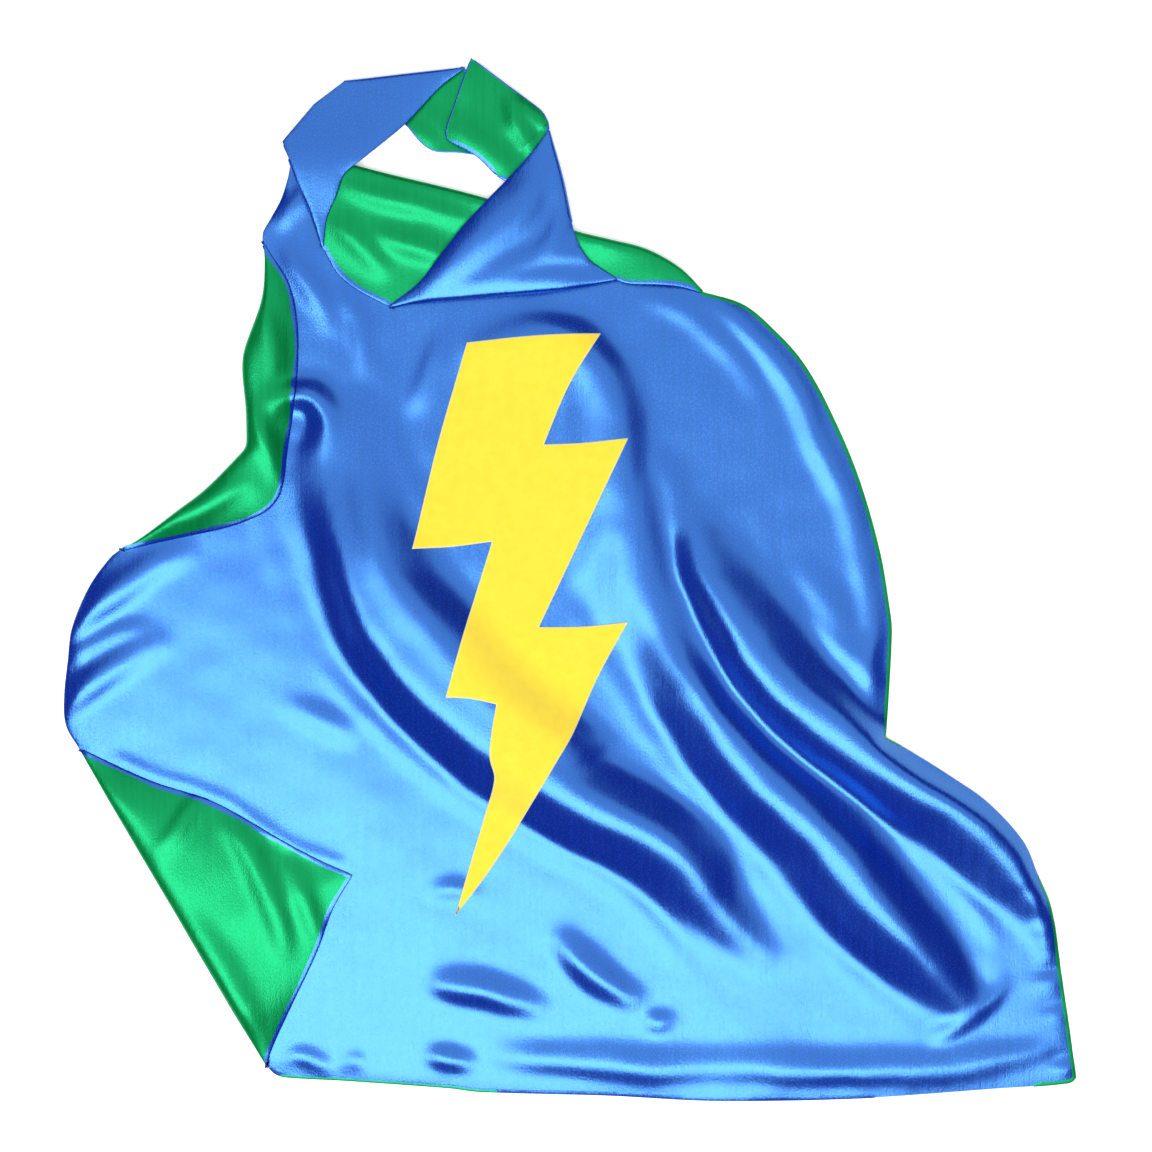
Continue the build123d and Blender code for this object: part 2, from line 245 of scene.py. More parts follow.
# A row for each ridge. A point has its x, y and height, and the ridge's widths on the right and left of it.
RIDGES = [
    # the long fold left of the bolt and under it
    [(-208, 112, 0, 10, 12), (-194, 124, 5, 12, 14), (-177, 126, 7.5, 13, 17), (-167, 108, 7.5, 15, 24),
     (-166, 70, 6, 30, 40), (-161, 32, 12.5, 27, 56), (-144, -14, 17, 27, 60), (-121, -48, 19, 31, 56),
     (-90, -83, 20, 34, 52), (-53, -114, 20, 37, 50), (-3, -143, 20, 39, 46), (42, -167, 19, 40, 40),
     (78, -193, 15, 38, 34), (104, -222, 8, 32, 28), (124, -248, 3, 26, 22), (138, -268, 0, 18, 16)],
    # its broad back
    [(-160, 130, 0, 20, 24), (-148, 104, 4.5, 32, 36), (-141, 66, 8.5, 40, 40), (-134, 30, 15.5, 38, 44),
     (-116, -8, 19, 40, 44), (-94, -38, 20.5, 40, 42), (-67, -70, 20.5, 38, 40), (-34, -98, 19, 36, 38),
     (2, -120, 13, 32, 34), (26, -136, 0, 24, 24)],
    # the middle fold
    [(44, 0, 0, 22, 26), (60, -38, 8, 28, 30), (86, -82, 15, 37, 34), (128, -130, 20, 42, 34),
     (176, -182, 21, 44, 36), (214, -226, 19, 43, 34), (240, -254, 14, 38, 28), (262, -278, 7, 28, 20),
     (282, -296, 0, 18, 14)],
    # the small hook past its lower end
    [(240, -318, 0, 6, 8), (262, -304, 2.6, 9, 9), (284, -286, 2.6, 9, 9), (300, -268, 0, 6, 8)],
    # the right fold, which runs out over the lower right side
    [(78, 50, 0, 16, 20), (84, 24, 8, 20, 32), (95, -6, 14, 24, 46), (112, -34, 18, 30, 52),
     (138, -64, 20, 38, 44), (176, -97, 21, 42, 32), (220, -127, 21, 42, 22), (264, -156, 18, 42, 19),
     (300, -188, 13, 38, 16), (322, -225, 6, 26, 12), (332, -262, 0, 16, 8)],
    # the shoulder of the cloth under the bolt's upper half
    [(-74, 152, 0, 30, 16), (-40, 163, 5.5, 30, 22), (2, 161, 8.8, 40, 24), (28, 124, 9.2, 50, 26),
     (38, 62, 8.4, 56, 28), (48, 8, 7.5, 50, 30), (62, -30, 6, 36, 28), (76, -60, 0, 24, 24)],
    # the raised right side
    [(84, 196, 0, 12, 8), (112, 178, 2.6, 14, 11), (146, 140, 3.6, 15, 13), (170, 96, 3.6, 15, 14),
     (186, 56, 2.6, 14, 14), (198, 8, 2.0, 13, 12), (205, -34, 2.4, 16, 10), (202, -64, 4.2, 24, 12),
     (202, -92, 0, 20, 10)],
    # along the hem
    [(-62, -322, 0, 10, 16), (-20, -325, 2.6, 13, 18), (50, -331, 3.6, 13, 22), (104, -333, 2.2, 13, 20),
     (160, -334, 3.8, 13, 22), (232, -332, 3.2, 13, 20), (300, -326, 2.4, 13, 16), (330, -319, 0, 10, 12)],
    [(-100, -326, 0, 8, 10), (-80, -328, 4, 10, 13), (-56, -331, 0, 8, 10)],
    # short folds above the hem and below the bolt
    [(-104, -272, 0, 10, 14), (-78, -277, 4.2, 13, 18), (-46, -284, 4.4, 13, 18), (-10, -294, 0, 10, 12)],
    [(-12, -236, 0, 12, 12), (6, -257, 4.8, 15, 16), (26, -275, 5.2, 15, 16), (54, -290, 0, 12, 12)],
    [(50, -296, 0, 10, 10), (60, -300, 3, 10, 10), (72, -294, 0, 8, 8)],
    [(-100, -213, 0, 7, 7), (-80, -210, 2.6, 9, 9), (-60, -216, 0, 7, 7)],
    # short folds that run in from the left side
    [(-250, 22, 0, 12, 12), (-282, 8, 3.2, 16, 15), (-312, -12, 5, 18, 14), (-338, -34, 3, 14, 10)],
    [(-280, -32, 0, 9, 10), (-308, -37, 2, 10, 11), (-336, -50, 2, 9, 10)],
    [(-272, -38, 0, 12, 12), (-300, -52, 3.2, 15, 15), (-324, -68, 5, 17, 14), (-342, -88, 3, 14, 10)],
    # about the left shoulder
    [(-200, 236, 0, 8, 8), (-192, 250, 3, 12, 9), (-182, 262, 3, 12, 9), (-176, 270, 0, 8, 8)],
    [(-196, 228, 0, 10, 8), (-184, 214, 3, 14, 10), (-172, 192, 3, 14, 12), (-164, 166, 0, 10, 10)],
    [(-158, 202, 0, 8, 8), (-150, 182, 2, 10, 12), (-144, 158, 2, 10, 12), (-142, 132, 0, 8, 8)],
    # soft wrinkles by the turned corner, and puckers at the left end of the hem
    [(-200, -86, 0, 12, 12), (-178, -92, 1.5, 14, 14), (-156, -102, 1.5, 14, 14), (-138, -110, 0, 12, 12)],
    [(-198, -331, 0, 6, 8), (-186, -325, 2.4, 8, 9), (-172, -329, 2.4, 8, 9), (-158, -336, 0, 6, 6)],
    [(-158, -334, 0, 5, 7), (-147, -328, 2, 7, 8), (-136, -334, 0, 6, 6)],
    # the low welt beside the turned corner's upper edge
    [(x, y, 1.7, 4, 5) for x, y in inset(CORNER_EDGE, np.full(len(CORNER_EDGE), -4.6))[4:-6:6]],
    # small ones about the bolt and in the upper body
    [(-78, 176, 0, 10, 10), (-88, 156, 2.2, 13, 14), (-98, 132, 2.2, 13, 14), (-110, 112, 0, 10, 10)],
    [(36, 150, 0, 8, 8), (20, 126, 3.2, 10, 10), (2, 100, 0, 8, 8)],
    [(22, 132, 0, 6, 6), (27, 118, 2, 7, 7), (24, 104, 0, 6, 6)],
    [(34, 76, 0, 12, 12), (30, 50, 2.4, 14, 15), (18, 18, 2.6, 14, 15), (4, -8, 0, 10, 10)],
    [(52, 96, 0, 10, 12), (66, 66, 2.4, 13, 16), (72, 36, 2.4, 13, 16), (74, 10, 0, 10, 12)],
    [(40, 196, 0, 10, 10), (78, 182, 1.8, 14, 14), (112, 152, 1.8, 14, 14), (134, 112, 0, 12, 12)],
    [(150, 20, 0, 14, 14), (172, -10, 2, 18, 18), (186, -46, 2.4, 18, 18), (188, -78, 0, 12, 12)],
    [(-130, 120, 0, 12, 12), (-118, 84, 2, 14, 15), (-100, 46, 2.4, 14, 15), (-84, 14, 0, 10, 10)],
]
REST = 1.0  # the middle of the cloth where it lies on the table
LOWEST = 0.7  # no cloth lies lower
EDGE_LEVEL = 0.75  # the middle of the cloth at a sewn edge that lies on the table
EDGE_REACH = 9  # from a sewn edge to where the cloth rises freely
HIGH, HIGHER = 16, 6.5  # crests above HIGH are pressed down to less than HIGHER more


def swell(xy, size, seed):
    """A slow random swell of the cloth, from -1 to 1, with waves about size mm long."""
    r = np.random.default_rng(seed)
    total = np.zeros(len(xy))
    for _ in range(7):
        angle = r.uniform(0, 2 * math.pi)
        wave = 2 * math.pi / (size * r.uniform(0.7, 1.5))
        total += np.sin(xy @ np.array([math.cos(angle), math.sin(angle)]) * wave + r.uniform(0, 2 * math.pi))
    return total / 7


def pucker(xy, line, reach, height, pitch, seed):
    """Short puckers that a seam draws in the cloth beside it."""
    distance, index = nearest(xy, line)
    r = np.random.default_rng(seed)
    s = np.arange(len(line)) * EDGE_STEP
    wave = sum(np.sin(2 * math.pi * s / (pitch * f) + r.uniform(0, 6.28)) for f in (0.8, 1.3, 2.1)) / 3
    strength = np.interp(s, s[::8], r.uniform(0.2, 1, len(s[::8])))
    return height * (wave * strength)[index] * np.clip(1 - distance / reach, 0, 1) ** 2


def crease(spine, offset, height, width, seed):
    """A fine crease offset to the right of a ridge, that comes and goes along it."""
    line = smooth_line([p[:2] for p in spine], CREASE_STEP)
    n = len(line)
    r = np.random.default_rng(seed)
    rise = np.interp(np.linspace(0, 9, n), np.arange(10), r.uniform(0.0, 1.0, 10))
    rise *= np.sin(np.linspace(0, math.pi, n)) ** 0.6
    aside = offset + 3.0 * np.sin(np.linspace(0, r.uniform(5, 9), n) + seed)
    moved = line + right_hand(line) * aside[:, None]
    return np.column_stack([moved, height * rise, np.full(n, width), np.full(n, width * 1.2)])


CREASED = (RIDGES[0], RIDGES[2], RIDGES[4])  # the left, middle and right folds
# how far each crease lies to the right of its ridge, and its height and width
CREASE_KINDS = ((44, 1.5, 9), (24, 1.6, 8), (-4, 1.2, 8), (-26, 1.4, 9), (-44, 1.0, 8))
CREASES = [crease(spine, offset, height, width, 100 + 10 * i + k)
           for i, spine in enumerate(CREASED)
           for k, (offset, height, width) in enumerate(CREASE_KINDS)]


def warp(xy, size, amount, seed):
    """The same points, moved aside a little, so that no fold runs perfectly even."""
    return xy + amount * np.column_stack([swell(xy, size, seed), swell(xy, size, seed + 1)])


GATHERED = RIGHT_LOWER[:56]  # the part of the lower right edge that its seam draws in most


def body_height(xy):
    """The height of the spread body: its folds, fine creases, slow swells, and puckers at its seams."""
    moved = warp(warp(xy, 95, 4.5, 41), 34, 0.9, 43)
    z = REST + joined([ridge(moved, spine) for spine in RIDGES])
    z += sum(ridge(moved, spine) for spine in CREASES)
    z += 0.55 * (1 + swell(xy, 90, 3)) + 0.28 * (1 + swell(xy, 38, 5)) + 0.04 * (1 + swell(moved, 14, 8))
    z = np.where(z > HIGH, HIGH + HIGHER * np.tanh((z - HIGH) / HIGHER), z)
    z += pucker(xy, GATHERED, 30, 4.2, 15, 1) + pucker(xy, HEM, 12, 0.5, 14, 2)
    z += pucker(xy, RIGHT_UPPER, 10, 0.5, 12, 4) + pucker(xy, LEFT_SIDE, 12, 0.6, 16, 6)
    edge = np.minimum(nearest(xy, np.vstack([HEM, RIGHT_LOWER, RIGHT_UPPER, LEFT_SIDE]))[0] / EDGE_REACH, 1)
    return np.maximum(EDGE_LEVEL + (z - EDGE_LEVEL) * (0.25 + 0.75 * edge * (2 - edge)), LOWEST)


LAYERS_APART = 1.3  # between the middles of two layers that lie on each other
ARCH_WIDTH = 30  # where turned cloth is this wide, it arches to its full height


def turned_height(fold, radii, edge, arch, waves):
    """The height of cloth turned back over the body between a fold and its own sewn edge."""
    def height(xy):
        to_fold, index = nearest(xy, fold)
        to_edge, _ = nearest(xy, edge)
        t = to_fold / np.maximum(to_fold + to_edge, 1e-6)
        gap = 2 * radii[index] * (1 - t) ** 1.5 + LAYERS_APART * np.minimum(to_fold / 3, 1)
        width = np.clip((to_fold + to_edge) / ARCH_WIDTH, 0, 1)
        z = body_height(xy) + gap + arch * width * 4 * t * (1 - t)
        return z + sum(ridge(xy, spine) for spine in waves)
    return height


CURL_WAVES = [
    [(-220, 122, 0, 9, 9), (-212, 108, 3, 10, 10), (-203, 86, 4, 10, 10), (-197, 62, 0, 8, 8)],
    [(-216, 190, 0, 9, 9), (-206, 176, 2.5, 12, 10), (-200, 150, 2.5, 12, 10), (-204, 128, 0, 9, 9)],
    [(-214, 70, 0, 8, 8), (-232, 58, 2, 10, 8), (-254, 44, 2, 9, 8), (-272, 36, 0, 7, 7)],
]
CORNER_WAVES = [
    [(-282, -190, 0, 10, 9), (-268, -172, 3, 11, 10), (-256, -154, 3, 10, 9), (-246, -146, 0, 8, 8)],
    [(-238, -160, 0, 10, 12), (-222, -176, 3.5, 13, 13), (-206, -208, 4, 14, 13), (-196, -238, 3, 12, 12),
     (-192, -262, 0, 9, 9)],
    [(-192, -186, 0, 8, 9), (-184, -206, 2.5, 10, 10), (-174, -236, 2.5, 9, 10), (-170, -252, 0, 7, 7)],
    [(-262, -226, 0, 16, 16), (-244, -252, 2.5, 18, 18), (-222, -290, 2.5, 16, 16), (-212, -314, 0, 9, 9)],
]
curl_height = turned_height(CURL_IN, CURL_R, CURL_EDGE, 3.2, CURL_WAVES)
corner_height = turned_height(CORNER_IN, CORNER_R, np.vstack([CORNER_SIDE, CORNER_EDGE]), 3.0, CORNER_WAVES)

FLAP_BASE = thin_plate([
    (90, 194, 2.6), (60, 218, 8.4), (20, 229, 9.6), (-54, 252, 10), (-100, 265, 10), (-141, 275, 9.6),
    (-190, 290, 8), (-186, 268, 6.5), (-176, 246, 6), (-166, 226, 4.5), (-158, 211, 3), (-140, 197, 2.8),
    (-122, 188, 3.2), (-100, 191, 4.4), (-68, 196, 5), (-7, 201, 5), (31, 202, 6.2), (60, 203, 7.6),
    (60, 209, 8.3), (-140, 258, 7.6), (-100, 248, 7.4), (-66, 240, 7), (-125, 245, 7.6), (-95, 235, 8.2),
    (-150, 236, 7.2), (-110, 218, 5.4), (-80, 222, 5.6), (-132, 210, 4.4), (-20, 222, 6.5), (20, 214, 6)])
FLAP_WAVES = [
    [(-158, 270, 0, 8, 8), (-138, 262, 3, 11, 9), (-104, 254, 3.4, 12, 9), (-74, 245, 2, 10, 8),
     (-60, 240, 0, 8, 8)],
    [(-170, 246, 0, 8, 8), (-150, 234, 2.6, 11, 12), (-132, 216, 2.5, 12, 12), (-122, 204, 0, 8, 8)],
    [(-136, 238, 0, 9, 9), (-118, 230, 3, 12, 11), (-92, 222, 3, 12, 10), (-72, 216, 0, 8, 8)],
]


FLAP_CLEAR = 1.4  # from the body to the flap over it, at least


def flap_height(xy):
    """The height of the upper back, folded down over the body and always clear of it."""
    z = FLAP_BASE(xy) + joined([ridge(xy, spine) for spine in FLAP_WAVES])
    return np.maximum(z, body_height(xy) + FLAP_CLEAR)


SHOULDER_BASE = thin_plate([
    (-122, 188, 5.6), (-100, 191, 9.6), (-68, 196, 11.6), (-30, 198, 12.2), (-7, 201, 12), (31, 202, 8.6),
    (20, 211, 8.5), (10, 218, 10.5), (3, 236, 11.6), (-4, 250, 10.6), (-10, 280, 10.2), (-16, 302, 9.4),
    (-28, 288, 10), (-43, 270, 11), (-54, 258, 12.6), (-71, 240, 12.4), (-87, 220, 11.4), (-102, 201, 9.5),
    (-30, 262, 12.8), (-45, 248, 13.4), (-62, 230, 13.2), (-78, 212, 12.2), (-20, 236, 12.4),
    (-40, 216, 11.9), (-10, 262, 11), (-12, 218, 12.4), (-24, 222, 11.8), (-16, 250, 12)])
SHOULDER_WAVES = [
    [(-106, 192, 0, 8, 9), (-86, 206, 2.4, 16, 16), (-63, 227, 3.9, 23, 22), (-40, 245, 3.9, 21, 24),
     (-24, 263, 2.8, 15, 22), (-15, 290, 0, 8, 10)],
    [(-70, 204, 0, 9, 8), (-42, 212, 2.4, 14, 9), (-16, 226, 3.0, 16, 9), (-6, 246, 2.6, 10, 9),
     (-7, 264, 0, 8, 8)],
    [(-90, 197, 0, 6, 6), (-60, 202, 1.6, 8, 6), (-20, 205, 1.7, 9, 6), (14, 206, 0, 6, 6)],
    [(-14, 296, 0, 6, 7), (-10, 274, 2, 8, 8), (-5, 250, 2, 8, 8), (0, 236, 0, 6, 6)],
    [(20, 214, 0, 6, 6), (4, 220, 2, 8, 8), (-14, 218, 1.5, 8, 8), (-28, 212, 0, 6, 6)],
]


def shoulder_height(xy):
    """The height of the right shoulder, which falls a little along the neck edge."""
    z = SHOULDER_BASE(xy) + joined([ridge(xy, spine) for spine in SHOULDER_WAVES])
    neck, _ = nearest(xy, NECK)
    return z - 0.5 * np.clip(1 - neck / 6, 0, 1) ** 2


STRAP_LEVEL = 4.45  # the strap's end where it is closed on the tab
ROOT_WAVES = [
    [(-14, 306, 0, 5, 5), (-22, 312, 3.4, 6, 6), (-30, 320, 3.2, 6, 6), (-40, 331, 0, 5, 5)],
    [(-22, 284, 0, 6, 6), (-28, 296, 3.0, 8, 9), (-34, 308, 3.4, 8, 9), (-38, 320, 2.2, 7, 8),
     (-46, 328, 0, 6, 6)],
]
END_WAVES = [
    [(-50, 338, 0, 8, 8), (-42, 326, 1.8, 10, 10), (-40, 310, 1.8, 10, 10), (-46, 298, 0, 8, 8)],
    [(-86, 318, 0, 9, 10), (-74, 305, 2.6, 12, 15), (-58, 292, 2.8, 12, 15), (-46, 282, 2.0, 10, 12),
     (-34, 270, 0, 8, 8)],
    [(-62, 352, 0, 10, 10), (-68, 340, 2.2, 12, 14), (-72, 322, 1.6, 11, 12), (-68, 308, 0, 8, 8)],
]


def strap_height(xy):
    """The height of the right strap past its turn, both its root and its peeling end."""
    z = STRAP_LEVEL + 0.25 * (1 + swell(xy, 30, 11))
    return z + sum(ridge(xy, spine) for spine in ROOT_WAVES + END_WAVES)


LEFT_STRAP_BASE = thin_plate([
    (-190, 284, 11.6), (-184, 262, 10.5), (-168, 228, 8), (-162, 246, 9.6), (-154, 270, 12),
    (-141, 284, 12.2), (-190, 292, 11.2), (-180, 312, 9), (-154, 335, 6.4), (-112, 340, 6.2),
    (-76, 344, 6), (-88, 334, 6), (-112, 309, 7), (-128, 295, 10), (-165, 290, 12.2), (-150, 312, 8.6),
    (-125, 322, 7.4)])


def left_strap_height(xy):
    """The height of the left strap, blue side up, which falls a little along its inner edge."""
    inner, _ = nearest(xy, STRAP_INNER)
    return LEFT_STRAP_BASE(xy) + 0.3 * swell(xy, 60, 21) - 1.2 * np.clip(1 - inner / 8, 0, 1) ** 2


TAB_WAVES = [
    [(-116, 314, 0, 5, 6), (-106, 307, 1.8, 7, 7), (-96, 300, 2.2, 7, 8), (-88, 294, 0, 5, 5)],
    [(-100, 322, 0, 6, 6), (-92, 313, 1.4, 8, 8), (-84, 304, 1.2, 7, 7), (-80, 298, 0, 5, 5)],
]


def tab_height(xy):
    """The height of the left strap's end, turned under and lying on the table."""
    return REST + 0.2 * (1 + swell(xy, 26, 31)) + sum(ridge(xy, spine) for spine in TAB_WAVES)


# ---- meshes

def inside_polygon(xy, polygon):
    """Whether each point lies inside the polygon."""
    x, y = xy[:, 0], xy[:, 1]
    hit = np.zeros(len(xy), bool)
    for (ax, ay), (bx, by) in zip(polygon, np.roll(polygon, -1, axis=0)):
        if ay == by:
            continue
        hit ^= ((ay > y) != (by > y)) & (x < (bx - ax) * (y - ay) / (by - ay) + ax)
    return hit


SAME_POINT = 1e-4  # two points nearer than this are one
CLEAR_SHARE = 0.62  # of the spacing, kept free beside an edge
JOIN_DISTANCE = 2e-5  # metres: the edges of two patches that meet are joined


def loop(*edges):
    """One closed polygon from edges that follow one another."""
    points = np.vstack([edge[:, :2] for edge in edges])
    keep = [0]
    for i in range(1, len(points)):
        if np.linalg.norm(points[i] - points[keep[-1]]) > SAME_POINT:
            keep.append(i)
    if np.linalg.norm(points[keep[-1]] - points[keep[0]]) < SAME_POINT:
        keep.pop()
    return points[keep]


def fill(polygon, spacing=SPACING):
    """Points and triangles that fill a polygon."""
    low, high = polygon.min(0), polygon.max(0)
    rows = np.arange(low[1], high[1], spacing * ROW_SHARE)
    grid = []
    for i, y in enumerate(rows):
        x = np.arange(low[0] + (i % 2) * spacing / 2, high[0], spacing)
        grid.append(np.column_stack([x, np.full(len(x), y)]))
    grid = np.vstack(grid)
    grid = grid[inside_polygon(grid, polygon)]
    grid = grid[nearest(grid, polygon)[0] > CLEAR_SHARE * spacing]
    points = np.vstack([polygon, grid])
    n = len(polygon)
    verts, _, faces, *_ = delaunay_2d_cdt(
        [Vector(p) for p in points], [(i, (i + 1) % n) for i in range(n)], [], 1, 1e-5)
    return np.array([tuple(v) for v in verts]), [tuple(f) for f in faces]


class Cloth:
    """Points and faces of the middle surface of the cape, gathered patch by patch."""

    def __init__(self):
        self.points = []
        self.faces = []
        self.part = []

    def add(self, points, faces, part):
        """Gather points and faces. The part number says which side of the faces is up."""
        start = sum(len(p) for p in self.points)
        self.points.append(points)
        self.faces += [tuple(start + i for i in f) for f in faces]
        self.part += [part] * len(faces)

    def patch(self, edges, height, part):
        """A layer of cloth that fills the edges in plan, at the height that a function gives."""
        xy, faces = fill(loop(*edges))
        self.add(np.column_stack([xy, height(xy)]), faces, part)

    def roll(self, line, radii, low, high, part):
        """The roll of a fold, from the lower layer round to the upper one."""
        inner = inset(line, radii)
        out = right_hand(line)
        z0, z1 = low(inner), high(inner)
        rows = []
        for k in range(ROLL_STEPS + 1):
            angle = math.pi * (k / ROLL_STEPS - 0.5)
            xy = inner + out * (radii * math.cos(angle))[:, None]
            rows.append(np.column_stack([xy, (z0 + z1) / 2 + (z1 - z0) / 2 * math.sin(angle)]))
        n = len(line)
        faces = [(k * n + i, k * n + i + 1, (k + 1) * n + i + 1, (k + 1) * n + i)
                 for k in range(ROLL_STEPS) for i in range(n - 1)]
        self.add(np.vstack(rows), faces, part)

    def mesh(self, up_part):
        """One joined mesh whose normals point to the face side."""
        bm = bmesh.new()
        points = np.vstack(self.points) * MM
        verts = [bm.verts.new(p) for p in points]
        layer = bm.faces.layers.int.new("part")
        for f, part in zip(self.faces, self.part):
            try:
                bm.faces.new([verts[i] for i in f])[layer] = part
            except ValueError:
                pass
        bmesh.ops.remove_doubles(bm, verts=bm.verts[:], dist=JOIN_DISTANCE)
        bmesh.ops.dissolve_degenerate(bm, edges=bm.edges[:], dist=1e-6)
        bmesh.ops.recalc_face_normals(bm, faces=bm.faces[:])
        total = sum(f.normal.z * f.calc_area() for f in bm.faces if f[layer] == up_part)
        if total < 0:
            bmesh.ops.reverse_faces(bm, faces=bm.faces[:])
        drop_loose(bm)
        relax(bm)
        bm.normal_update()
        return bm


def drop_loose(bm):
    for v in [v for v in bm.verts if not v.link_faces]:
        bm.verts.remove(v)


def bridge(bm, rings):
    """Faces between closed rings of vertices that follow one another."""
    for a, b in zip(rings, rings[1:]):
        for i in range(len(a)):
            j = (i + 1) % len(a)
            bm.faces.new((a[i], a[j], b[j], b[i]))


def relax(bm, rounds=4):
    """Smooth the surface a little, so that folds run into the layers they join."""
    for _ in range(rounds):
        bmesh.ops.smooth_vert(bm, verts=[v for v in bm.verts if not v.is_boundary], factor=0.5,
                              use_axis_x=True, use_axis_y=True, use_axis_z=True)


BODY, OVER, UNDER = 1, 2, 3  # the body, other layers with the blue side up, and the rest

cape = Cloth()
cape.patch([TOP_IN, LEFT_SHOULDER, CURL_IN, LEFT_SIDE, CORNER_IN, HEM, RIGHT_LOWER, RIGHT_UPPER],
           body_height, BODY)
cape.patch([CURL_IN, CURL_EDGE], curl_height, UNDER)
cape.roll(CURL, CURL_R, body_height, curl_height, UNDER)
cape.patch([CORNER_IN, CORNER_SIDE, CORNER_EDGE], corner_height, UNDER)
cape.roll(CORNER, CORNER_R, body_height, corner_height, UNDER)
cape.patch([TOP_IN, FLAP_END, CREASE_IN, FLAP_NECK, BOTTOM_IN, FLAP_SIDE], flap_height, UNDER)
cape.roll(TOP, TOP_R, body_height, flap_height, UNDER)
cape.patch([STRAP_INNER, TURN_IN, STRAP_OUTER, CREASE_IN], left_strap_height, OVER)
cape.roll(CREASE, CREASE_R, flap_height, left_strap_height, OVER)
cape.patch([TURN_IN, TAB], tab_height, UNDER)
cape.roll(TURN, TURN_R, tab_height, left_strap_height, OVER)
cape.patch([BOTTOM_IN, SHOULDER, RIGHT_TURN_IN, NECK], shoulder_height, OVER)
cape.roll(BOTTOM, BOTTOM_R, flap_height, shoulder_height, OVER)
cape.patch([RIGHT_TURN_IN, ROOT_UPPER, CUT[::-1], ROOT_LOWER], strap_height, UNDER)
cape.roll(RIGHT_TURN, RIGHT_TURN_R, strap_height, shoulder_height, OVER)
cape_middle = cape.mesh(BODY)

end = Cloth()
end.patch([CUT, END_UPPER, END_TIP, END_LOWER], strap_height, UNDER)
end_middle = end.mesh(UNDER)
bmesh.ops.reverse_faces(end_middle, faces=end_middle.faces[:])
end_middle.normal_update()


def boundary_loops(bm):
    """Each closed run of boundary vertices, in order."""
    bm.edges.index_update()
    left = {e for e in bm.edges if e.is_boundary}
    loops = []
    while left:
        edge = min(left, key=lambda e: e.index)
        left.discard(edge)
        first, last = edge.verts
        run = [first, last]
        while True:
            nxt = next((e for e in last.link_edges if e in left), None)
            if nxt is None:
                break
            left.discard(nxt)
            last = nxt.other_vert(last)
            if last is first:
                break
            run.append(last)
        loops.append(run)
    return loops


def new_object(name, bm, material):
    """A smooth-shaded object of one material, in the scene."""
    mesh = bpy.data.meshes.new(name)
    bm.to_mesh(mesh)
    for polygon in mesh.polygons:
        polygon.use_smooth = True
    obj = bpy.data.objects.new(name, mesh)
    bpy.context.scene.collection.objects.link(obj)
    mesh.materials.append(material)
    return obj


def edge_frames(run):
    """Position, normal and outward direction at each vertex of a boundary run, in mm."""
    p = np.array([v.co for v in run]) / MM
    n = np.array([v.normal for v in run])
    d = np.roll(p, -1, axis=0) - np.roll(p, 1, axis=0)
    d /= np.linalg.norm(d, axis=1)[:, None] + 1e-12
    o = np.cross(d, n)
    o /= np.linalg.norm(o, axis=1)[:, None] + 1e-12
    inner = []
    for v in run:
        around = [e.other_vert(v).co for e in v.link_edges if not e.is_boundary]
        inner.append(np.mean(around, axis=0) / MM if around else np.array(v.co) / MM)
    flip = ((p - np.array(inner)) * o).sum(1) < 0
    o[flip] *= -1
    return p, n, o


RIM_TURN = 0.55  # how far a rim stands out past the sewn edge
RIM_STEPS = 4  # round that turn
RIM_SINK = 0.12  # the turn ends this much lower than it starts
RIM_ROOM = 0.16  # between a rim and the cloth that it lies on
NO_RIM = 0.05  # a shorter reach than this makes no rim


def add_rim(bm, run, p, n, o, side, reach):
    """Cloth that turns round a sewn edge and reaches some way onto the other side."""
    rows = []
    for k in range(1, RIM_STEPS + 1):
        angle = math.pi * k / RIM_STEPS
        rise = HALF * math.cos(angle) - RIM_SINK * (k / RIM_STEPS)
        rows.append(p + o * RIM_TURN * math.sin(angle) + n * side * rise)
    for share in (0.5, 1.0):
        rows.append(p - o * (reach * share)[:, None] - n * side * (HALF + RIM_ROOM - 0.1 * share))
    made = [list(run)] + [[bm.verts.new(q * MM) for q in row] for row in rows]
    for a, b in zip(made, made[1:]):
        for i in range(len(run)):
            j = (i + 1) % len(run)
            if reach[i] <= NO_RIM and reach[j] <= NO_RIM:
                continue
            try:
                bm.faces.new((a[i], a[j], b[j], b[i]))
            except ValueError:
                pass


def panel(name, middle, side, material, rim=None):
    """A panel a little off the middle surface, with a rim that turns round the sewn edge.

    rim(points) gives, for each point of the edge, how far this panel's cloth reaches round it, in mm."""
    bm = middle.copy()
    frames = [(run, *edge_frames(run)) for run in boundary_loops(bm)]
    for v, n in [(v, v.normal.copy()) for v in bm.verts]:
        v.co += n * side * HALF * MM
    if rim is not None:
        for run, p, n, o in frames:
            reach = rim(p)
            if reach.max() > NO_RIM:
                add_rim(bm, run, p, n, o, side, reach)
        drop_loose(bm)
    bmesh.ops.recalc_face_normals(bm, faces=bm.faces[:])
    return new_object(name, bm, material)


# ---- materials

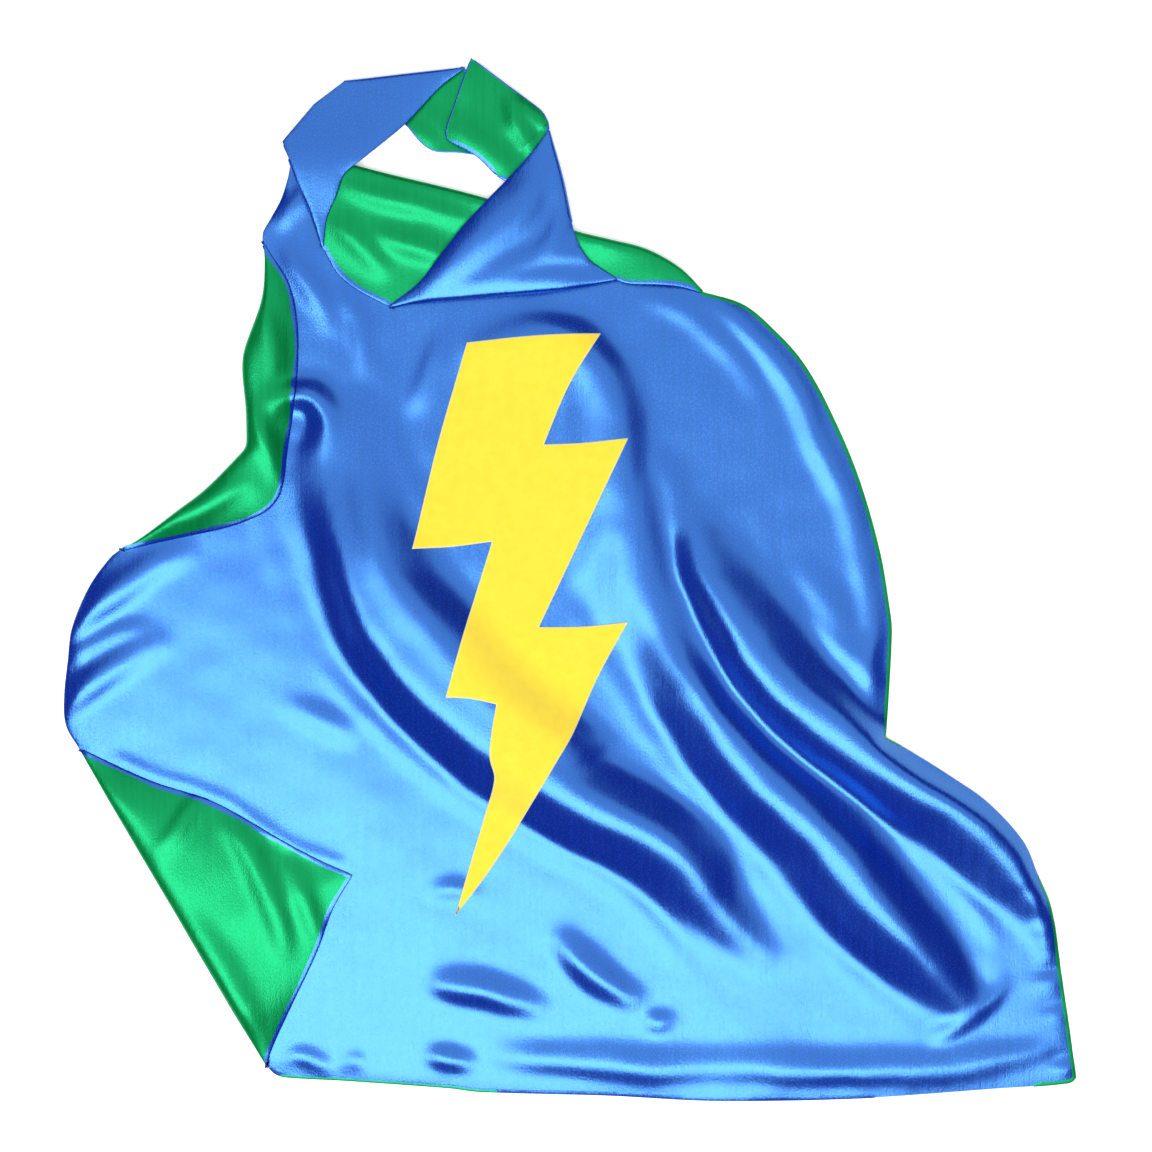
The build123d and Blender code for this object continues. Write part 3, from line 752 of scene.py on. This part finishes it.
class Nodes:
    """A short way to build a node tree."""

    def __init__(self, name):
        self.material = bpy.data.materials.new(name)
        self.material.use_nodes = True
        self.tree = self.material.node_tree
        self.shader = self.tree.nodes["Principled BSDF"]

    def add(self, kind, inputs=(), **settings):
        node = self.tree.nodes.new(kind)
        for key, value in settings.items():
            setattr(node, key, value)
        for key, value in dict(inputs).items():
            if isinstance(value, bpy.types.NodeSocket):
                self.tree.links.new(value, node.inputs[key])
            else:
                node.inputs[key].default_value = value
        return node

    def math(self, operation, a, b=0.0):
        return self.add("ShaderNodeMath", {0: a, 1: b}, operation=operation).outputs[0]

    def place(self):
        return self.add("ShaderNodeTexCoord").outputs["Object"]

    def stretched(self, vector, scale):
        return self.add("ShaderNodeMapping", {"Vector": vector, "Scale": scale}).outputs[0]

    def noise(self, vector, scale, detail, distortion=0.0):
        return self.add("ShaderNodeTexNoise", {"Vector": vector, "Scale": scale, "Detail": detail,
                                               "Distortion": distortion}).outputs[0]

    def mixed(self, a, b, share):
        """The sum of a share of a and the rest of b."""
        return self.math("ADD", self.math("MULTIPLY", a, share), self.math("MULTIPLY", b, 1 - share))

    def ramp(self, factor, *stops):
        """A colour that runs through (position, colour) stops as the factor rises."""
        node = self.add("ShaderNodeValToRGB", {"Fac": factor})
        for element, (position, colour) in zip(node.color_ramp.elements, (stops[0], stops[-1])):
            element.position = position
            element.color = (*colour, 1)
        for position, colour in stops[1:-1]:
            node.color_ramp.elements.new(position).color = (*colour, 1)
        return node.outputs[0]

    def bump(self, height, strength, distance, **below):
        """A normal from a relief, on top of the one given as Normal."""
        return self.add("ShaderNodeBump", {"Height": height, "Strength": strength, "Distance": distance,
                                           **below}).outputs[0]

    def link(self, output, key):
        self.tree.links.new(output, self.shader.inputs[key])

    def set(self, values):
        """Set the shader's own sockets."""
        for key, value in values.items():
            self.shader.inputs[key].default_value = value


def satin(name, colour, light, dark, roughness, gloss):
    """Warp-faced satin: fine upright threads, slubs, and a soft streaked gloss."""
    t = Nodes(name)
    place = t.place()
    threads = t.noise(t.stretched(place, (2600, 90, 90)), 1.0, 2.0)
    slubs = t.noise(t.stretched(place, (420, 14, 60)), 1.0, 3.0)
    weft = t.noise(t.stretched(place, (60, 1500, 60)), 1.0, 1.0)
    grain = t.noise(t.stretched(place, (1150, 640, 700)), 1.0, 2.0)
    t.link(t.ramp(t.mixed(threads, slubs, 0.5), (0.3, dark), (0.5, colour), (0.7, light)), "Base Color")
    uneven = t.math("ADD", t.math("MULTIPLY", slubs, 0.08), t.math("MULTIPLY", grain, 0.22))
    t.link(t.math("ADD", uneven, roughness - 0.15), "Roughness")
    normal = t.bump(grain, 1.0, 0.00012)
    normal = t.bump(t.mixed(threads, weft, 0.6), 0.25, 0.00012, Normal=normal)
    t.link(t.bump(slubs, 0.3, 0.00025, Normal=normal), "Normal")
    t.set({"IOR": 2.25, "Specular IOR Level": 1.0, "Specular Tint": (*gloss, 1)})
    return t.material


def felt(name, colour, light, dark):
    """Pressed felt: short fibres lying every way, and no gloss."""
    t = Nodes(name)
    place = t.place()
    fibres = t.noise(place, 2200.0, 4.0, 1.2)
    nap = t.mixed(fibres, t.noise(place, 160.0, 3.0), 0.6)
    surface = t.ramp(nap, (0.3, dark), (0.5, colour), (0.7, light))
    cut = t.add("ShaderNodeAttribute", attribute_name="cut_edge").outputs["Fac"]
    paler = t.add("ShaderNodeMixRGB", {0: cut, 1: surface, 2: (1.0, 0.92, 0.55, 1)})
    t.link(paler.outputs[0], "Base Color")
    t.link(t.bump(nap, 0.5, 0.0005), "Normal")
    t.set({"Roughness": 0.95, "Specular IOR Level": 0.15, "Sheen Weight": 0.3, "Sheen Roughness": 0.6})
    return t.material


def shade(colour, factor):
    """A darker or lighter colour."""
    return [min(1, c * factor) for c in colour]


def thread(name, colour):
    """Twisted polyester thread."""
    t = Nodes(name)
    twist = t.add("ShaderNodeTexWave", {"Vector": t.place(), "Scale": 1400.0, "Distortion": 1.0},
                  bands_direction="DIAGONAL").outputs["Fac"]
    t.link(t.ramp(twist, (0, shade(colour, 0.7)), (1, shade(colour, 1.25))), "Base Color")
    t.link(t.bump(twist, 0.4, 0.0001), "Normal")
    t.set({"Roughness": 0.45, "Sheen Weight": 0.2})
    return t.material


def tape(name, colour, scale):
    """Hook or loop tape: a dense nap on a woven ground."""
    t = Nodes(name)
    place = t.place()
    cells = t.add("ShaderNodeTexVoronoi", {"Vector": place, "Scale": scale}).outputs["Distance"]
    height = t.mixed(cells, t.noise(place, scale * 2, 4.0), 0.6)
    t.link(t.ramp(height, (0, shade(colour, 0.55)), (1, shade(colour, 1.5))), "Base Color")
    t.link(t.bump(height, 0.8, 0.0006), "Normal")
    t.set({"Roughness": 0.8, "Sheen Weight": 0.25})
    return t.material


BLUE = satin("blue satin", (0.001, 0.012, 0.31), (0.002, 0.016, 0.36), (0.001, 0.008, 0.26), 0.26,
             (0.13, 0.46, 1.0))
GREEN = satin("green satin", (0.001, 0.16, 0.033), (0.002, 0.20, 0.042), (0.001, 0.12, 0.024), 0.32,
              (0.02, 0.50, 0.20))
YELLOW = felt("yellow felt", (0.97, 0.735, 0.045), (1.0, 0.79, 0.06), (0.90, 0.66, 0.035))
THREAD = thread("blue thread", (0.05, 0.19, 0.55))
TAPE_HOOK = tape("hook tape", (0.03, 0.10, 0.32), 900.0)
TAPE_LOOP = tape("loop tape", (0.04, 0.13, 0.38), 600.0)
FILM = thread("bond film", (0.8, 0.78, 0.6))


# ---- panels

def past_hinge(p):
    """How far each point lies beyond the strap's hinge line, towards its free end."""
    a, b = np.array(hinge_point(0, 0)), np.array(hinge_point(0, 1))
    return (p[:, :2] - a) @ (b - a)


END_RIM, END_RIM_UPPER = 2.4, 0.5  # of the strap's end, along its lower edge and elsewhere
LOWER_EDGE_TOP = 297  # the strap end's lower edge lies below this y


def face_rim(p):
    """How far the blue face turns round the edge onto the green side."""
    right = (p[:, 0] > 205) & (p[:, 1] < -100)
    reach = 2.6 + 0.6 * np.sin(p[:, 0] * 0.11) * np.sin(p[:, 1] * 0.13)
    upper_right = (p[:, 0] > 86) & (p[:, 1] > -108) & (p[:, 2] < 30)
    hem = (p[:, 1] < -332) & (p[:, 0] < -50) & (p[:, 0] > -196)
    tab = (p[:, 0] > -128) & (p[:, 0] < -40) & (p[:, 1] > 286) & (p[:, 2] < 3.2)
    cut = (np.abs(past_hinge(p) + CUT_BACK) < 1.0) & (p[:, 1] > 265) & (p[:, 0] > -62) & (p[:, 2] < 8.6)
    return np.where(right | upper_right | cut | hem, 0.0, np.where(tab, 0.5, reach))


def end_rim(p):
    """How far the blue face turns round the edge of the strap's end, but not at its cut."""
    reach = np.where(p[:, 1] > LOWER_EDGE_TOP, END_RIM_UPPER, END_RIM)
    return np.where(past_hinge(p) < 1.0 - CUT_BACK, 0.0, reach)


def lining_rim(p):
    """How far the green lining shows round the edge of the blue side."""
    upper_right = (p[:, 0] > 86) & (p[:, 1] > -112)
    lower_right = (p[:, 0] > 318) & (p[:, 1] < -190)
    hem = (p[:, 1] < -332) & (p[:, 0] < -50) & (p[:, 0] > -196)
    return np.where(upper_right | lower_right, 2.2, np.where(hem, 1.2, 0.0))


face = panel("face_satin_main", cape_middle, 1, BLUE, face_rim)
lining = panel("lining_satin_main", cape_middle, -1, GREEN, lining_rim)
end_face = panel("strap_end_face_satin", end_middle, 1, BLUE, end_rim)
end_lining = panel("strap_end_lining_satin", end_middle, -1, GREEN)


# ---- the bolt

BOLT = [[(-78, -228), (-60, -205), (-41, -177), (-24, -148), (-8, -121), (2, -104), (20, -64), (39.5, -28.5)],
        [(39.5, -28.5), (10, -31.5), (-21, -32)], [(-21, -32), (7, 27), (39.5, 96)],
        [(39.5, 96), (10, 93), (-17.7, 92)], [(-17.7, 92), (-1, 131), (21, 167.3)],
        [(21, 167.3), (-24, 165.5), (-70, 161.2)], [(-70, 161.2), (-90, 92), (-106.8, 21)],
        [(-106.8, 21), (-80, 22.5), (-53, 26)], [(-53, 26), (-69, -26), (-83.6, -79)],
        [(-83.6, -79), (-66, -80), (-49.6, -83.6)],
        [(-49.6, -83.6), (-53, -104), (-54, -120), (-51, -134), (-58, -160), (-67, -190), (-78, -228)]]
bpy.context.view_layer.update()
face_tree = BVHTree.FromObject(face, bpy.context.evaluated_depsgraph_get())


def on_face(xy):
    """The height of the blue side, in mm, at each point."""
    z = np.empty(len(xy))
    for i, (x, y) in enumerate(xy):
        hit = face_tree.ray_cast(Vector((x * MM, y * MM, 0.2)), Vector((0, 0, -1)))
        z[i] = hit[0].z / MM if hit[0] is not None else REST
    return z


OUTLINE_STEP = 2.5  # between points round a laid piece
LAID_SPACING = 4.0  # between points inside it
CUT_SHARES = (0.15, 0.7)  # of the thickness, where its cut edge starts and ends


def laid_sheet(name, lines, lift, thickness, material, rim=1.1, shrink=0.0):
    """A flat cut piece laid on the blue side, following it, with a sloping cut edge."""
    polygon = loop(*[smooth_line(line, OUTLINE_STEP) for line in lines])
    outward = right_hand(np.vstack([polygon[-1:], polygon, polygon[:1]]))[1:-1]
    polygon = polygon - outward * (rim + shrink)
    xy, faces = fill(polygon, LAID_SPACING)
    base = on_face(xy) + lift
    n = len(polygon)
    bm = bmesh.new()
    top = [bm.verts.new((x * MM, y * MM, (z + thickness) * MM)) for (x, y), z in zip(xy, base)]
    bottom = [bm.verts.new((x * MM, y * MM, z * MM)) for (x, y), z in zip(xy, base)]
    for f in faces:
        bm.faces.new([top[i] for i in f])
        bm.faces.new([bottom[i] for i in reversed(f)])
    ring_xy = polygon + outward * rim
    rings = [[bm.verts.new((x * MM, y * MM, (base[i] + thickness * share) * MM))
              for i, (x, y) in enumerate(ring_xy)] for share in CUT_SHARES]
    cut = {v for ring in rings for v in ring}
    bridge(bm, [bottom[:n], *rings, top[:n]])
    bmesh.ops.recalc_face_normals(bm, faces=bm.faces[:])
    shares = [1.0 if v in cut else 0.0 for v in bm.verts]
    piece = new_object(name, bm, material)
    piece.data.attributes.new("cut_edge", "FLOAT", "POINT").data.foreach_set("value", shares)
    return piece


bolt = laid_sheet("bolt_felt_piece", BOLT, 0.25, 1.15, YELLOW)
film = laid_sheet("bolt_bond_layer", BOLT, 0.02, 0.15, FILM, rim=0.05, shrink=1.5)


# ---- stitches and seam thread

STITCH_SHAPE = ((0.0, 0.08), (0.18, 0.19), (0.5, 0.22), (0.82, 0.19), (1.0, 0.08))  # share along, radius
STITCH_SIDES = 6


def add_stitch(bm, start, stop, lift=0.1):
    """One stitch: a small rounded bar of thread from start to stop, in mm."""
    a, b = np.array(start, float), np.array(stop, float)
    d = (b - a) / np.linalg.norm(b - a)
    side = np.cross(d, (0, 0, 1))
    up = np.cross(side, d)
    rings = []
    for s, r in STITCH_SHAPE:
        centre = a + (b - a) * s + up * (lift + 0.12 * math.sin(math.pi * s))
        rings.append([bm.verts.new((centre + (side * math.cos(t) + up * math.sin(t)) * r) * MM)
                      for t in np.linspace(0, 2 * math.pi, STITCH_SIDES + 1)[:-1]])
    bridge(bm, rings)
    bm.faces.new(rings[0][::-1])
    bm.faces.new(rings[-1])


def stitched(name, line, first, last, inset_by, pitch=3.0, share=0.72):
    """Topstitches on the blue side, along part of an edge and just inside it."""
    edge = smooth_line(line, 1.0)
    path = inset(edge, np.full(len(edge), inset_by))
    path = path[int(first * len(path)):int(last * len(path))]
    s = np.r_[0, np.cumsum(np.linalg.norm(np.diff(path, axis=0), axis=1))]
    bm = bmesh.new()
    for k in range(int(s[-1] / pitch)):
        reach = (k * pitch, (k + share) * pitch)
        ends = np.array([[np.interp(v, s, path[:, c]) for c in (0, 1)] for v in reach])
        z = on_face(ends)
        add_stitch(bm, (*ends[0], z[0]), (*ends[1], z[1]))
    bmesh.ops.recalc_face_normals(bm, faces=bm.faces[:])
    return new_object(name, bm, THREAD)


closing = stitched("hem_closing_topstitch", HEM, 0.17, 0.42, 1.9)


STRAND_ANGLES = (0, 2.09, 4.19)  # round the seam's strand, which is three-sided


def seam_thread(name, middle, inside=1.1, radius=0.11):
    """The hidden seam, a thin strand between the panels along each sewn edge."""
    bm = bmesh.new()
    for run in boundary_loops(middle):
        p, n, o = edge_frames(run)
        centre = p - o * inside
        rings = []
        for i in range(len(p)):
            rings.append([bm.verts.new((centre[i] + (o[i] * math.cos(t) + n[i] * math.sin(t)) * radius) * MM)
                          for t in STRAND_ANGLES])
        bridge(bm, rings + rings[:1])
    bmesh.ops.recalc_face_normals(bm, faces=bm.faces[:])
    return new_object(name, bm, THREAD)


seam = seam_thread("edge_seam_strand", cape_middle)
end_seam = seam_thread("strap_end_seam_strand", end_middle)

# ---- bodies, slots and replaced solids

for piece, node, name in ((face, "face_panel", "face_satin"), (lining, "lining_panel", "lining_satin"),
                          (bolt, "lightning_bolt", "bolt_felt"), (film, "bolt_bond_film", "bond_film"),
                          (closing, "hem_closing_stitches", "seam_thread"),
                          (seam, "edge_seam_thread", "seam_thread")):
    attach(piece, "cape")
    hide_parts(node)

for piece, node, name in ((end_face, "strap_end_face", "face_satin"),
                          (end_lining, "strap_end_lining", "lining_satin"),
                          (end_seam, "strap_end_seam_thread", "seam_thread")):
    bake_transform(piece)
    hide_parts(node)

for node, material in (("hook_patch", TAPE_HOOK), ("loop_patch", TAPE_LOOP), ("hook_patch_stitches", THREAD),
                       ("loop_patch_stitches", THREAD)):
    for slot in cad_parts[node].material_slots:
        slot.material = material

# ---- floor, light and camera

FLOOR_SIZE = 8  # metres
FLOOR_LEVEL = -0.0005  # just under the cloth

bpy.ops.mesh.primitive_plane_add(size=FLOOR_SIZE, location=(0, 0, FLOOR_LEVEL))
floor = bpy.context.object
floor.name = "floor"
ground = Nodes("pale floor")
speck = ground.add("ShaderNodeTexNoise", {"Scale": 40.0, "Detail": 2.0}).outputs[0]
ground.link(ground.ramp(speck, (0, (0.93, 0.93, 0.93)), (1, (0.97, 0.97, 0.97))), "Base Color")
ground.set({"Roughness": 0.9, "Specular IOR Level": 0.0, "Emission Color": (1, 1, 1, 1),
            "Emission Strength": 0.34})
floor.data.materials.append(ground.material)


def softbox(name, place, size, power):
    """A white area light of a size in metres and a power in watts, aimed at the middle of the cape."""
    light = bpy.data.lights.new(name, "AREA")
    light.shape = "RECTANGLE"
    light.size, light.size_y = size
    light.energy = power
    obj = bpy.data.objects.new(name, light)
    obj.location = place
    obj.rotation_euler = (Vector((0, 0, 0)) - Vector(place)).to_track_quat("-Z", "Y").to_euler()
    bpy.context.scene.collection.objects.link(obj)


softbox("key", (-0.30, -0.78, 2.1), (2.2, 1.15), 48)
softbox("ceiling", (0.3, 0.75, 2.7), (4.0, 3.4), 52)

world = bpy.data.worlds.new("studio")
world.use_nodes = True
world.node_tree.nodes["Background"].inputs[0].default_value = (1, 1, 1, 1)
world.node_tree.nodes["Background"].inputs[1].default_value = 0.09
bpy.context.scene.world = world
bpy.context.scene.view_settings.view_transform = "Standard"

FRAME_WIDTH = 783.4 * MM  # what the camera sees across, on the floor
CAMERA_HEIGHT = 1.9
SENSOR = 36.0
camera_data = bpy.data.cameras.new("camera")
camera_data.sensor_width = SENSOR
camera_data.lens = SENSOR * CAMERA_HEIGHT / FRAME_WIDTH
camera = bpy.data.objects.new("camera", camera_data)
camera.location = (4.1 * MM, 2.7 * MM, CAMERA_HEIGHT)
camera.rotation_euler = (0, 0, 0)
bpy.context.scene.collection.objects.link(camera)
bpy.context.scene.camera = camera
